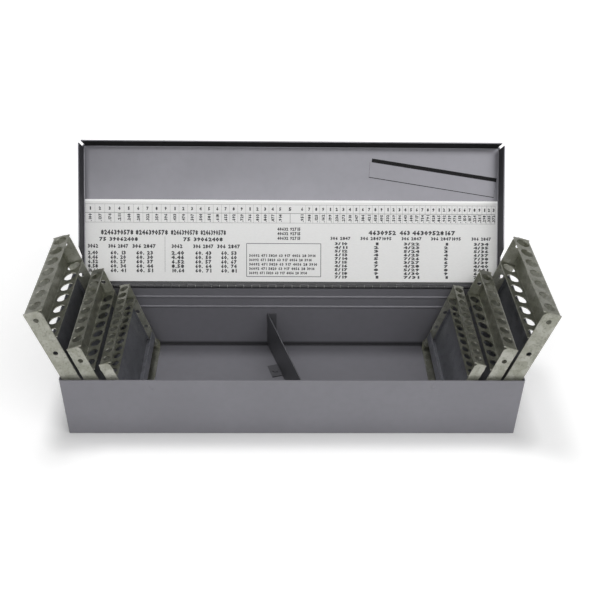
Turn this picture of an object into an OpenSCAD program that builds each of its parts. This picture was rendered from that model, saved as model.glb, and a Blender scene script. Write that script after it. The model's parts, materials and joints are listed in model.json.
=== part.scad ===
// Drill bit index case: a sheet-steel box with a piano-hinged lid and six drill racks
// that are linked three by three and fold down into the box.
// Millimetres, +Z up, +X to the right, +Y to the back.
// Origin at the middle of the underside. Drawn with the lid open and the racks raised.

/* [Case] */
// Outer length of the case, left to right
case_w = 360; // [340:1:420]
// Outer depth of the case, front to back
case_d = 121; // [100:1:140]
// Height of the front and end walls
wall_h = 55.5; // [54:0.5:66]
// Thickness of the case and lid sheet
sheet_t = 0.9; // [0.7:0.1:1.1]
// Outer bend radius of the case and the lid
bend_r = 1.8; // [1.4:0.1:2.2]
// Radius of the beads pressed into the back wall
bead_r = 1.6; // [1.2:0.1:2]
// Height of the beads over the back wall
bead_rise = 0.8; // [0.4:0.1:1]
// Height of the lower bead above the underside
bead_z = 42; // [38:0.1:46]
// Distance between the two beads
bead_pitch = 10.3; // [8:0.1:12]
// Distance from the end of a bead to the end wall
bead_end = 9; // [6:0.5:20]

/* [Lid] */
// Angle that the lid is open, from closed
lid_open = 126.5; // [112:0.5:128]
// Depth of the lid's skirt
lid_depth = 18.5; // [15:0.5:22]
// Clearance between the lid's skirt and the case
lid_clear = 0.4; // [0.3:0.1:0.8]
// Depth of the side skirts beside the hinge
heel_depth = 6.4; // [5:0.1:7]
// Length of the shallow side skirts, from the hinge axis
heel_len = 26; // [20:1:50]
// Length over which the side skirts run to full depth
heel_run = 6; // [4:1:20]
// Reach of the lid's rear edge past the hinge axis, which stops the open lid
lid_tail = 0.35; // [0.2:0.05:0.4]
// Side of the open notch at the lid's two front corners
corner_notch = 2.4; // [1.9:0.1:4]

/* [Snaps] */
// Distance of each snap bump from the middle of the case
snap_x = 109; // [60:0.5:140]
// Sphere radius of the snap bumps
snap_r = 5; // [4:0.5:8]
// Height of a snap bump over its sheet
snap_rise = 0.6; // [0.3:0.1:0.8]
// Height of a snap bump above the lower edge of the closed lid
snap_up = 2.6; // [2.6:0.1:5]

/* [Hinge] */
// Height of the hinge axis above the front and end walls
hinge_rise = 7.7; // [6:0.1:10]
// Distance from the end of the hinge to the end of the case
hinge_end = 5; // [3:0.5:15]
// Outer radius of the knuckles
knuckle_r = 1.6; // [1.5:0.1:1.8]
// Radius of the hinge pin
pin_r = 0.8; // [0.6:0.05:1]
// Radial clearance of the hinge pin
pin_clear = 0.05; // [0.02:0.01:0.1]
// Length of one knuckle with its gap
knuckle_pitch = 7; // [5:0.5:12]
// Gap round a knuckle
knuckle_gap = 0.3; // [0.2:0.05:0.4]
// Thickness of the hinge leaves
leaf_t = 0.7; // [0.5:0.05:0.8]
// Width of the lid's hinge leaf from the axis
leaf_w = 13; // [8:0.5:16]
// Height of the case's hinge leaf below the axis
base_leaf = 9; // [6:0.5:9]
// Gap between the knuckles and the lid panel
leaf_gap = 0.2; // [0.2:0.05:0.4]

/* [Chart] */
// Gap between the ends of the chart card and the lid's side skirts
card_end = 1.1; // [1:0.1:50]
// Height of the chart card
card_h = 70.6; // [40:0.1:90]
// Distance from the hinge axis to the card
card_y = 4.2; // [3:0.1:12]
// Thickness of the card
card_t = 0.4; // [0.2:0.05:0.6]

/* [Racks] */
// Lean of the raised racks from upright
lean = 17.5; // [16:0.5:20]
// Thickness of the rack channels and stop troughs
rack_t = 0.9; // [0.7:0.1:1.1]
// Outer bend radius of the channels and troughs
rack_r = 1.5; // [1.2:0.1:2]
// Thickness of the end plates
plate_t = 1; // [0.8:0.1:1.2]
// Corner radius of the end plates
plate_r = 4.5; // [2:0.5:6]
// Distance that the end plates stand back from the front edge of their channel
plate_set = 1; // [0.5:0.1:1.2]
// Distance that the end plates reach below their pivot
plate_drop = 6; // [4:0.5:8]
// Diameter of the tooling holes in the end plates
plate_hole = 4; // [3:0.1:4.2]
// Width of the welding tabs on the channels and troughs
tab_w = 2.4; // [1.5:0.1:2.6]
// Distance from a pivot to the inner edge of its rack
pivot_in = 4.2; // [4:0.1:5]
// Distance from the back wall to the racks
rack_back = 6.6; // [5:0.1:12]
// Gap between the outer racks and the rim of the end walls
rim_gap = 0.35; // [0.3:0.05:1]
// Gap between folded racks
fold_gap = 0.8; // [0.5:0.1:1.2]
// Gap between the raised outer and middle racks
outer_gap = 1.6; // [1:0.1:4]
// Gap between the raised middle and inner racks
inner_gap = 5; // [1:0.1:6]
// Sideways gap between the end plates and their ears
side_gap = 0.3; // [0.2:0.05:0.5]
// Web left between a drill hole and the end of its row
hole_edge = 1; // [0.5:0.1:2]

/* [Outer racks] */
// Thickness across the outer racks
outer_t = 14.6; // [13.2:0.1:15]
// Length of the outer racks above their pivot
outer_len = 92; // [84:0.5:100]
// Distance from the top to the guide of the outer racks
outer_guide = 26; // [20:0.5:32]
// Largest drill hole of the outer racks
outer_hole = 11; // [6:0.1:11]
// Distance between the drill holes of the outer racks
outer_pitch = 15.5; // [13:0.1:20]
// Step in diameter from hole to hole of the outer racks
outer_step = 0.25; // [0:0.05:0.4]
// Distance from the top to the upper tooling hole of the outer racks
outer_tool = 7.5; // [7:0.5:12]
// Distance from the pivot to the lower tooling hole of the outer racks
outer_tool_low = 53; // [45:0.5:56]

/* [Middle racks] */
// Thickness across the middle racks
middle_t = 11.6; // [11.4:0.1:13]
// Length of the middle racks above their pivot
middle_len = 71; // [64:0.2:78]
// Distance from the top to the guide of the middle racks
middle_guide = 24.5; // [18:0.1:28]
// Largest drill hole of the middle racks
middle_hole = 9.2; // [5:0.1:9.2]
// Distance between the drill holes of the middle racks
middle_pitch = 12.6; // [11:0.1:16]
// Step in diameter from hole to hole of the middle racks
middle_step = 0.15; // [0:0.05:0.25]
// Distance from the top to the tooling hole of the middle racks
middle_tool = 13; // [8:0.5:16]

/* [Inner racks] */
// Thickness across the inner racks
inner_t = 9.6; // [9.4:0.1:11]
// Length of the inner racks above their pivot
inner_len = 65.6; // [60:0.2:72]
// Distance from the top to the guide of the inner racks
inner_guide = 14; // [10:0.5:20]
// Largest drill hole of the inner racks
inner_hole = 7.2; // [3:0.1:7.2]
// Distance between the drill holes of the inner racks
inner_pitch = 9.6; // [9:0.1:14]
// Step in diameter from hole to hole of the inner racks
inner_step = 0.12; // [0:0.02:0.2]
// Distance from the top to the tooling hole of the inner racks
inner_tool = 29; // [26:0.5:34]

/* [Stop troughs] */
// Height of a trough's floor above the pivot
stop_low = 5; // [4.5:0.5:10]
// Gap from the back wall of a trough up to the guide
stop_gap = 10; // [4:0.5:14]
// Height of a trough's front lip
stop_lip = 8; // [4:0.5:12]

/* [Pivots and links] */
// Thickness of the pivot brackets
ear_t = 1; // [0.8:0.1:1.2]
// Radius of the ears round the pivots
ear_r = 4.5; // [3.5:0.1:5]
// Radius of the rivets and pins
rivet_r = 1.5; // [1:0.1:1.8]
// Radial clearance of the rivets and pins where they turn
rivet_clear = 0.05; // [0.02:0.01:0.1]
// Radius of the rivet heads
head_r = 2.8; // [2.4:0.1:3.2]
// Thickness of the rivet heads
head_t = 0.8; // [0.5:0.1:1]
// Gap between a head and the piece that turns under it
head_gap = 0.15; // [0.1:0.05:0.3]
// Gap between the front heads and the front wall
wall_gap = 0.2; // [0.1:0.05:1]
// Distance from a rack's pivot to its link pin
link_arm = 20; // [18:0.5:22]
// Radius of the eyes of the link bars
link_eye = 3; // [2.8:0.1:3.5]
// Half the width of the link bars between their eyes
link_half = 2.4; // [2:0.1:2.6]

/* [Divider] */
// Height of the divider
divider_h = 34; // [20:0.5:40]
// Distance of the divider's rear end from the middle, to the left
divider_rear = 21.6; // [0:0.1:40]
// Distance of the divider's front end from the middle, to the right
divider_front = 14.4; // [0:0.1:40]
// Width of the divider's end flanges
divider_flange = 8; // [5:0.5:12]
// Width of the divider's feet
foot_w = 9; // [8:0.5:12]
// Length of the divider's feet
foot_len = 16; // [10:0.5:20]
// Distance of each foot from the middle of the divider
foot_at = 22; // [14:0.5:35]

/* [Hidden] */
$fn = 48;
eps = 0.01;
past = 5;
paint = [0.47, 0.48, 0.52];
zinc = [0.62, 0.62, 0.56];
steel = [0.75, 0.75, 0.76];
dark = [0.32, 0.33, 0.36];
white = [0.94, 0.94, 0.93];

inner_w = case_w - 2 * sheet_t;
inner_d = case_d - 2 * sheet_t;
hinge_y = case_d / 2 - sheet_t / 2;
hinge_z = wall_h + hinge_rise;
back_h = hinge_z - knuckle_r - knuckle_gap;
back_end = 2 * bend_r;

// The lid is drawn closed, with the hinge axis as its origin
leaf_low = knuckle_r + leaf_gap - leaf_t;
leaf_top = leaf_low + leaf_t;
lid_top = leaf_low + sheet_t;
lid_w = case_w + 2 * (lid_clear + sheet_t);
lid_front = -case_d / 2 - lid_clear - sheet_t - hinge_y;
leaf_bay = leaf_w + lid_clear;
card_w = lid_w - 2 * (sheet_t + card_end);
snap_z = hinge_z + lid_top - lid_depth + snap_up;

hinge_len = case_w - 2 * hinge_end;
knuckles = floor(hinge_len / knuckle_pitch);
barrel_len = knuckles * knuckle_pitch;

// From the front wall to the back: rivet heads, ears and link bars, end plates, channels
front_ear = -inner_d / 2 + wall_gap + head_t;
front_plate = front_ear + ear_t + side_gap;
row_front = front_plate + plate_t;
rear_plate = inner_d / 2 - rack_back;
row_rear = rear_plate - plate_t;
rear_ear = rear_plate + side_gap;
row_len = row_rear - row_front;

// Racks counted from the inside: 0 inner, 1 middle, 2 outer
thick = [inner_t, middle_t, outer_t];
tall = [inner_len, middle_len, outer_len];
guide = [inner_len - inner_guide, middle_len - middle_guide, outer_len - outer_guide];
hole = [inner_hole, middle_hole, outer_hole];
pitch = [inner_pitch, middle_pitch, outer_pitch];
step = [inner_step, middle_step, outer_step];
tools = [
    [inner_len - inner_tool],
    [middle_len - middle_tool],
    [outer_len - outer_tool, outer_tool_low]
];

// Pivot heights let the racks fold flat on each other, pivot distances space them when raised
low_z = sheet_t + ear_t + fold_gap + pivot_in;
pivot_z = [low_z, low_z + inner_t + fold_gap, low_z + inner_t + middle_t + 2 * fold_gap];
outer_x = inner_w / 2
    - (outer_t - pivot_in + rim_gap + (wall_h - pivot_z[2]) * sin(lean)) / cos(lean);
middle_x = outer_x
    - (middle_t + outer_gap + (pivot_z[2] - pivot_z[1]) * sin(lean)) / cos(lean);
inner_x = middle_x
    - (inner_t + inner_gap + (pivot_z[1] - pivot_z[0]) * sin(lean)) / cos(lean);
pivot_x = [inner_x, middle_x, outer_x];
drop = [for (k = [0:2]) min(plate_drop, (pivot_z[k] - sheet_t - ear_t - fold_gap
    - (thick[k] - pivot_in) * sin(lean)) / cos(lean))];

divider_run = divider_rear + divider_front;
divider_turn = atan(divider_run / inner_d);
divider_len = inner_d / cos(divider_turn);

// Outline in plan with four round corners
module round_rect(w, d, r) {
    square([w - 2 * r, d], center = true);
    square([w, d - 2 * r], center = true);
    for (x = [-1, 1], y = [-1, 1])
        translate([x * (w / 2 - r), y * (d / 2 - r)])
            circle(r);
}

// Section of a bent pan: round corners below, straight sides
module pan_section(w, h, r) {
    translate([-w / 2, r])
        square([w, h - r]);
    translate([-w / 2 + r, 0])
        square([w - 2 * r, h]);
    for (x = [-1, 1])
        translate([x * (w / 2 - r), r])
            circle(r);
}

// Block with round upright corners and round lower edges, floor at z = 0
module pan_block(w, d, h, r) {
    intersection() {
        linear_extrude(h)
            round_rect(w, d, r);
        upright(d / 2, d)
            pan_section(w, h, r);
        rotate([0, 0, 90])
            upright(w / 2, w)
                pan_section(d, h, r);
    }
}

// Extrudes a section drawn in x and z over a length of y that ends at y_end
module upright(y_end, len) {
    translate([0, y_end, 0])
        rotate([90, 0, 0])
            linear_extrude(len)
                children();
}

// Cylinder along y from y_start
module along_y(y_start, len, r) {
    translate([0, y_start, 0])
        rotate([-90, 0, 0])
            cylinder(h = len, r = r);
}

// Cylinder along x, centred
module along_x(len, r) {
    rotate([0, 90, 0])
        cylinder(h = len, r = r, center = true);
}

// Rows of bead and snap positions
module at_beads() {
    for (z = [bead_z, bead_z + bead_pitch])
        translate([0, inner_d / 2, z])
            children();
}

module at_snaps() {
    for (x = [-snap_x, snap_x])
        translate([x, 0, 0])
            children();
}

// A bead's round face, with ball ends
module bead() {
    run = inner_w - 2 * (bead_end + bead_r);
    translate([0, bead_r - bead_rise, 0]) {
        along_x(run, bead_r);
        for (x = [-1, 1])
            translate([x * run / 2, 0, 0])
                sphere(bead_r);
    }
}

// Ball that raises a snap bump over a face that looks to -Y
module snap_ball() {
    translate([0, snap_r - snap_rise, 0])
        sphere(snap_r);
}

module tray() {
    face = -case_d / 2;
    color(paint)
    difference() {
        union() {
            difference() {
                pan_block(case_w, case_d, back_h, bend_r);
                translate([0, 0, sheet_t])
                    pan_block(inner_w, inner_d, back_h, bend_r - sheet_t);
                translate([-case_w, -case_d, wall_h])
                    cube([2 * case_w, case_d + inner_d / 2, back_h]);
                for (x = [-1, 1])
                    translate([x * case_w / 2, 0, wall_h + back_h / 2])
                        cube([2 * back_end, 2 * case_d, back_h], center = true);
            }
            intersection() {
                at_beads()
                    bead();
                translate([-inner_w / 2, 0, 0])
                    cube([inner_w, inner_d / 2 + sheet_t / 2, back_h]);
            }
            intersection() {
                at_snaps()
                    translate([0, face, snap_z])
                        snap_ball();
                translate([-case_w / 2, face - past, 0])
                    cube([case_w, past + sheet_t, wall_h]);
            }
        }
        translate([0, sheet_t, 0])
            at_beads()
                bead();
        at_snaps()
            translate([0, face + sheet_t, snap_z])
                snap_ball();
        at_feet()
            translate([0, 0, -eps])
                cylinder(h = sheet_t + 2 * eps, r = rivet_r);
    }
}

// Middle of each divider foot, with the frame turned along the divider
module at_feet() {
    for (y = [-foot_at, foot_at])
        translate([(divider_front - divider_rear) / 2, 0, 0])
            rotate([0, 0, divider_turn])
                translate([-(sheet_t + foot_w) / 2, y, 0])
                    children();
}

module divider() {
    color(dark)
    difference() {
        union() {
            translate([0, 0, sheet_t])
                linear_extrude(divider_h)
                    divider_plan();
            at_feet()
                translate([-foot_w / 2, -foot_len / 2, sheet_t])
                    cube([foot_w + sheet_t, foot_len, sheet_t]);
        }
        for (y = [-1, 1])
            translate([0, y * inner_d / 2, sheet_t])
                cube([case_w, 2 * (bend_r - sheet_t), 2 * (bend_r - sheet_t)], center = true);
        at_feet()
            cylinder(h = 2 * sheet_t + eps, r = rivet_r);
    }
}

// Plan of the divider: a slanted sheet with a flange against each wall
module divider_plan() {
    across = sheet_t / cos(divider_turn);
    y = inner_d / 2;
    polygon([
        [-divider_rear - across / 2, y], [-divider_rear + across / 2, y],
        [divider_front + across / 2, -y], [divider_front - across / 2, -y]
    ]);
    translate([-divider_rear, y - sheet_t])
        square([divider_flange, sheet_t]);
    translate([divider_front, -y])
        square([divider_flange, sheet_t]);
}

module divider_rivets() {
    color(steel)
    at_feet() {
        cylinder(h = 2 * sheet_t, r = rivet_r);
        translate([0, 0, 2 * sheet_t])
            cylinder(h = head_t, r = head_r);
    }
}

// Places what is drawn round the hinge axis with the lid closed
module at_hinge(turn) {
    translate([0, hinge_y, hinge_z])
        rotate([-turn, 0, 0])
            children();
}

// Knuckles that one leaf leaves free for the other: 0 or 1 is the first one
module knuckle_bays(first) {
    bay = 2 * (knuckle_r + knuckle_gap);
    for (i = [first:2:knuckles - 1])
        translate([(i + 0.5) * knuckle_pitch - barrel_len / 2, 0, 0])
            cube([knuckle_pitch + knuckle_gap, bay, bay], center = true);
}

// Leaf with its knuckles: the flat is drawn by the child
module leaf(first_bay) {
    difference() {
        union() {
            children();
            along_x(barrel_len, knuckle_r);
        }
        along_x(barrel_len + past, pin_r + pin_clear);
        knuckle_bays(first_bay);
    }
}

module hinge_base_leaf() {
    color(steel)
    at_hinge(0)
        leaf(1)
            translate([-barrel_len / 2, sheet_t / 2, -base_leaf])
                cube([barrel_len, leaf_t, base_leaf]);
}

module hinge_lid_leaf() {
    color(steel)
    at_hinge(lid_open)
        leaf(0)
            translate([-barrel_len / 2, -leaf_w, leaf_low])
                cube([barrel_len, leaf_w, leaf_t]);
}

module hinge_pin() {
    color(steel)
    at_hinge(0)
        along_x(barrel_len, pin_r);
}

// Lid pan turned over, open at the back, with its rear edge left long
module lid_block(in) {
    len = lid_tail - lid_front + past;
    translate([0, lid_front + len / 2, lid_top - in])
        mirror([0, 0, 1])
            pan_block(lid_w - 2 * in, len - 2 * in, lid_depth, bend_r - in);
}

module lid_shell() {
    face = lid_front;
    color(paint)
    at_hinge(lid_open)
    difference() {
        union() {
            difference() {
                union() {
                    lid_block(0);
                    translate([0, lid_tail, lid_top + leaf_t])
                        mirror([0, 0, 1])
                            upright(0, leaf_bay + lid_tail)
                                pan_section(lid_w, heel_depth, bend_r);
                }
                lid_block(sheet_t);
                translate([-lid_w / 2 + sheet_t, -leaf_bay, leaf_low - past])
                    cube([lid_w - 2 * sheet_t, leaf_bay + 2 * past, past + leaf_t]);
            }
            intersection() {
                at_snaps()
                    translate([0, face, snap_z - hinge_z])
                        snap_ball();
                translate([-lid_w / 2, face - past, lid_top - lid_depth])
                    cube([lid_w, past + sheet_t, lid_depth]);
            }
        }
        translate([-lid_w, lid_tail, -lid_w / 2])
            cube([2 * lid_w, 2 * past, lid_w]);
        heel_cut();
        corner_notches();
        at_snaps()
            translate([0, face + sheet_t, snap_z - hinge_z])
                snap_ball();
    }
}

// What the side skirts leave free beside the raised racks
module heel_cut() {
    rotate([90, 0, 90])
        translate([0, 0, -lid_w])
            linear_extrude(2 * lid_w)
                polygon([
                    [past, lid_top - heel_depth], [-heel_len, lid_top - heel_depth],
                    [-heel_len - heel_run, lid_top - lid_depth],
                    [-heel_len - heel_run, lid_top - lid_depth - past],
                    [past, lid_top - lid_depth - past]
                ]);
}

// Notches that part the front skirt from the side skirts, up to the bend of the panel
module corner_notches() {
    for (x = [-1, 1])
        translate([x * lid_w / 2, lid_front, lid_top - bend_r - lid_depth])
            cube([2 * corner_notch, 2 * corner_notch, 2 * lid_depth], center = true);
}

module chart_card() {
    color(white)
    at_hinge(lid_open)
        translate([-card_w / 2, -card_y - card_h, leaf_low - card_t])
            cube([card_w, card_h, card_t]);
}

// Places what is drawn for the right side on either side
module on_side(side) {
    if (side == "left")
        mirror([1, 0, 0])
            children();
    else
        children();
}

// Frame of rack k: origin on its pivot, z along the raised rack, x outward
module at_rack(side, k) {
    on_side(side)
        translate([pivot_x[k], 0, pivot_z[k]])
            rotate([0, lean, 0])
                children();
}

module at_pivots() {
    for (k = [0:2])
        translate([pivot_x[k], pivot_z[k]])
            children();
}

module at_link_pins() {
    for (k = [0:2])
        translate([pivot_x[k] + link_arm * sin(lean), pivot_z[k] + link_arm * cos(lean)])
            children();
}

// Bracket on the floor with an ear at the front and at the rear
module pivot_bracket(side) {
    base = [pivot_x[0] - ear_r, pivot_x[2] + ear_r];
    color(zinc)
    on_side(side) {
        for (y = [front_ear + ear_t, rear_ear + ear_t])
            upright(y, ear_t)
                ear(base);
        translate([base[0], front_ear, sheet_t])
            cube([base[1] - base[0], rear_ear + ear_t - front_ear, ear_t]);
    }
}

module ear(base) {
    rise = atan2(pivot_z[2] - pivot_z[0], pivot_x[2] - pivot_x[0]);
    edge = [-ear_r * sin(rise), ear_r * cos(rise)];
    difference() {
        union() {
            polygon([
                [base[0], sheet_t], [base[0], pivot_z[0]],
                [pivot_x[0], pivot_z[0]] + edge, [pivot_x[2], pivot_z[2]] + edge,
                [base[1], pivot_z[2]], [base[1], sheet_t]
            ]);
            for (k = [0, 2])
                translate([pivot_x[k], pivot_z[k]])
                    circle(ear_r);
        }
        at_pivots()
            circle(rivet_r);
    }
}

// Rivets fixed in the ears, on which the end plates turn
module pivot_rivets(side) {
    reach = ear_t + side_gap + plate_t + head_gap;
    color(steel)
    on_side(side)
        for (k = [0:2])
            translate([pivot_x[k], 0, pivot_z[k]]) {
                along_y(front_ear, reach, rivet_r);
                along_y(front_ear - head_t, head_t, head_r);
                along_y(front_ear + reach, head_t, head_r);
                along_y(rear_ear + ear_t - reach, reach, rivet_r);
                along_y(rear_ear + ear_t, head_t, head_r);
                along_y(rear_ear + ear_t - reach - head_t, head_t, head_r);
            }
}

// Bar with an eye on the link pin of each of the three racks
module link(side, y_end) {
    color(zinc)
    on_side(side)
        upright(y_end, ear_t)
            difference() {
                union() {
                    at_link_pins()
                        circle(link_eye);
                    for (k = [0, 1])
                        link_run(k);
                }
                at_link_pins()
                    circle(rivet_r + rivet_clear);
            }
}

// Straight of a link bar between the eyes k and k + 1
module link_run(k) {
    run = [pivot_x[k + 1] - pivot_x[k], pivot_z[k + 1] - pivot_z[k]];
    translate([pivot_x[k] + link_arm * sin(lean), pivot_z[k] + link_arm * cos(lean)])
        rotate(atan2(run[1], run[0]))
            translate([0, -link_half])
                square([norm(run), 2 * link_half]);
}

// Pins fixed in the two end plates of rack k, flush inside, headed outside the link bars
module link_pins(side, k) {
    reach = plate_t + side_gap + ear_t + head_gap;
    color(steel)
    at_rack(side, k)
        translate([0, 0, link_arm]) {
            along_y(row_front - reach, reach, rivet_r);
            along_y(row_front - reach - head_t + head_gap, head_t - head_gap, head_r);
            along_y(row_rear, reach, rivet_r);
            along_y(row_rear + reach, head_t - head_gap, head_r);
        }
}

// End plate of rack k, drawn with x outward and y up the rack
module plate_outline(k) {
    low = plate_set - pivot_in;
    high = thick[k] - pivot_in;
    difference() {
        union() {
            translate([low, 0])
                square([high - low, tall[k] - plate_r]);
            translate([low + plate_r, 0])
                square([high - low - plate_r, tall[k]]);
            translate([low + plate_r, tall[k] - plate_r])
                circle(plate_r);
            circle(-low);
            translate([0, -drop[k]])
                square([high, drop[k] + eps]);
        }
        circle(rivet_r + rivet_clear);
        translate([0, link_arm])
            circle(rivet_r);
        for (u = tools[k])
            translate([(low + high) / 2, u])
                circle(d = plate_hole);
    }
}

module plate(side, k, y_end) {
    color(zinc)
    at_rack(side, k)
        upright(y_end, plate_t)
            plate_outline(k);
}

// Channel of rack k: perforated top, back web, perforated guide below
module channel(side, k) {
    high = thick[k] - pivot_in;
    rise = tall[k] - guide[k];
    mid = -pivot_in + (thick[k] - rack_t) / 2;
    count = floor((row_len - hole[k] - 2 * hole_edge) / pitch[k]) + 1;
    centre = (row_rear + row_front) / 2;
    color(zinc)
    at_rack(side, k)
    difference() {
        union() {
            upright(row_rear, row_len)
                translate([-pivot_in, guide[k]])
                    difference() {
                        channel_section(thick[k], rise, rack_r);
                        translate([-eps, rack_t])
                            channel_section(thick[k] - rack_t + eps, rise - 2 * rack_t, rack_r - rack_t);
                    }
            tabs(high, guide[k] + rack_r, rise - 2 * rack_r);
        }
        for (i = [0:count - 1])
            translate([mid, centre + ((count - 1) / 2 - i) * pitch[k], guide[k] - past])
                cylinder(h = rise + 2 * past, d = hole[k] - i * step[k]);
    }
}

// Block section open on the left, with two round corners on the right
module channel_section(w, h, r) {
    square([w - r, h]);
    translate([0, r])
        square([w, h - 2 * r]);
    for (y = [r, h - r])
        translate([w - r, y])
            circle(r);
}

// Tabs turned in from a back web, one against each end plate
module tabs(high, low, len) {
    for (y = [row_front, row_rear - rack_t])
        translate([high - rack_t / 2 - tab_w, y, low])
            cube([tab_w, rack_t, len]);
}

// Stop trough of rack k: high back wall, floor and low front lip
module stop(side, k) {
    low = plate_set - pivot_in;
    high = thick[k] - pivot_in;
    rise = guide[k] - stop_gap - stop_low;
    color(zinc)
    at_rack(side, k) {
        upright(row_rear, row_len)
            translate([(low + high) / 2, stop_low])
                difference() {
                    pan_section(high - low, rise, rack_r);
                    translate([0, rack_t])
                        pan_section(high - low - 2 * rack_t, rise, rack_r - rack_t);
                    translate([(low - high) / 2 - eps, stop_lip])
                        square([rack_t + 2 * eps, rise]);
                }
        tabs(high, stop_low + rack_r, rise - rack_r);
    }
}

module left_pivot_bracket() { pivot_bracket("left"); }
module right_pivot_bracket() { pivot_bracket("right"); }
module left_pivot_rivets() { pivot_rivets("left"); }
module right_pivot_rivets() { pivot_rivets("right"); }
module left_front_link() { link("left", front_ear + ear_t); }
module left_rear_link() { link("left", rear_ear + ear_t); }
module right_front_link() { link("right", front_ear + ear_t); }
module right_rear_link() { link("right", rear_ear + ear_t); }

module left_outer_channel() { channel("left", 2); }
module left_outer_front_plate() { plate("left", 2, row_front); }
module left_outer_rear_plate() { plate("left", 2, rear_plate); }
module left_outer_stop() { stop("left", 2); }
module left_outer_link_pins() { link_pins("left", 2); }
module left_middle_channel() { channel("left", 1); }
module left_middle_front_plate() { plate("left", 1, row_front); }
module left_middle_rear_plate() { plate("left", 1, rear_plate); }
module left_middle_stop() { stop("left", 1); }
module left_middle_link_pins() { link_pins("left", 1); }
module left_inner_channel() { channel("left", 0); }
module left_inner_front_plate() { plate("left", 0, row_front); }
module left_inner_rear_plate() { plate("left", 0, rear_plate); }
module left_inner_stop() { stop("left", 0); }
module left_inner_link_pins() { link_pins("left", 0); }
module right_outer_channel() { channel("right", 2); }
module right_outer_front_plate() { plate("right", 2, row_front); }
module right_outer_rear_plate() { plate("right", 2, rear_plate); }
module right_outer_stop() { stop("right", 2); }
module right_outer_link_pins() { link_pins("right", 2); }
module right_middle_channel() { channel("right", 1); }
module right_middle_front_plate() { plate("right", 1, row_front); }
module right_middle_rear_plate() { plate("right", 1, rear_plate); }
module right_middle_stop() { stop("right", 1); }
module right_middle_link_pins() { link_pins("right", 1); }
module right_inner_channel() { channel("right", 0); }
module right_inner_front_plate() { plate("right", 0, row_front); }
module right_inner_rear_plate() { plate("right", 0, rear_plate); }
module right_inner_stop() { stop("right", 0); }
module right_inner_link_pins() { link_pins("right", 0); }

tray();
divider();
divider_rivets();
hinge_base_leaf();
hinge_pin();
left_pivot_bracket();
right_pivot_bracket();
left_pivot_rivets();
right_pivot_rivets();
lid_shell();
hinge_lid_leaf();
chart_card();
left_outer_channel();
left_outer_front_plate();
left_outer_rear_plate();
left_outer_stop();
left_outer_link_pins();
left_middle_channel();
left_middle_front_plate();
left_middle_rear_plate();
left_middle_stop();
left_middle_link_pins();
left_inner_channel();
left_inner_front_plate();
left_inner_rear_plate();
left_inner_stop();
left_inner_link_pins();
right_outer_channel();
right_outer_front_plate();
right_outer_rear_plate();
right_outer_stop();
right_outer_link_pins();
right_middle_channel();
right_middle_front_plate();
right_middle_rear_plate();
right_middle_stop();
right_middle_link_pins();
right_inner_channel();
right_inner_front_plate();
right_inner_rear_plate();
right_inner_stop();
right_inner_link_pins();
left_front_link();
left_rear_link();
right_front_link();
right_rear_link();
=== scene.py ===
"""Finishes, printing and studio of a sheet-steel drill bit index case.

The case, lid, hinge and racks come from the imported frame. This file paints and
galvanises them, prints the chart card and sets the studio, one operator for each job.
All lengths are metres, in the frame's own axes: X right, Y back, Z up.
"""

import json
import math

import bpy
import numpy as np
from mathutils import Matrix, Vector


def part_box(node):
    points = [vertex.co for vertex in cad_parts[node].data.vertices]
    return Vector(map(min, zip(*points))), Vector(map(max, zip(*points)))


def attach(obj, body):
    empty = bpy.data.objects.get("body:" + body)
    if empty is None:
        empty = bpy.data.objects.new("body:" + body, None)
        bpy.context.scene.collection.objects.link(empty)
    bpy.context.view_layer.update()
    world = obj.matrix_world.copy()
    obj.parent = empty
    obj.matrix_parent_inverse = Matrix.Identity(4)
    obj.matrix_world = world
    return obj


bl_info = {
    "name": "Drill Index Case",
    "version": (1, 0, 0),
    "blender": (4, 5, 0),
    "location": "View3D > Sidebar > Drill Index",
    "description": "Paint, zinc, chart printing and studio for a drill bit index case",
    "category": "Object",
}

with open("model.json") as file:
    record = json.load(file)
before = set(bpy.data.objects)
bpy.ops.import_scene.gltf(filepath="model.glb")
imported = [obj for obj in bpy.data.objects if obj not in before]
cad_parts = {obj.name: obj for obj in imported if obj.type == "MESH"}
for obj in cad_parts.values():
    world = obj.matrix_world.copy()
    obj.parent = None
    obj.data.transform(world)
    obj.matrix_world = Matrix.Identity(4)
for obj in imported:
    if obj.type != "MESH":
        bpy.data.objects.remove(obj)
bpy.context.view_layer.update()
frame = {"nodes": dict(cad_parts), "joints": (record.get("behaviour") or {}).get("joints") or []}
MM = 0.001

SIDES = ("left", "right")
RACKS = ("outer", "middle", "inner")
HINGE_LEAVES = ("hinge_base_leaf", "hinge_lid_leaf")
END_PLATES = ("front_plate", "rear_plate")
LINKAGE = ("pivot_bracket", "front_link", "rear_link")

# The open lid: its hinge axis and its angle from closed
LID_JOINT = next(joint for joint in frame["joints"] if joint["name"] == "lid_hinge")
HINGE_Y, HINGE_Z = LID_JOINT["pos_m"][1], LID_JOINT["pos_m"][2]
HINGE = (0.0, HINGE_Y, HINGE_Z)
LID_OPEN = math.radians(126.5)

# Directions on the open lid: from the hinge up the lid, and square to it towards its outside
LID_UP = (0.0, -math.cos(LID_OPEN), math.sin(LID_OPEN))
LID_OUT = (0.0, math.sin(LID_OPEN), math.cos(LID_OPEN))
PRINT_LIFT = 0.04 * MM


def lid_reach(node, direction):
    """Least and greatest distance of a node's points from the hinge axis along a direction."""
    mesh = frame["nodes"][node].data
    points = np.empty(len(mesh.vertices) * 3)
    mesh.vertices.foreach_get("co", points)
    along = (points.reshape(-1, 3) - HINGE) @ np.array(direction)
    return along.min(), along.max()


# The card lies on the lid, so its back is the lid's inner face
CARD_FACE, LID_FACE = lid_reach("chart_card", LID_OUT)
CARD_TOP = lid_reach("chart_card", LID_UP)[1]

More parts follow.
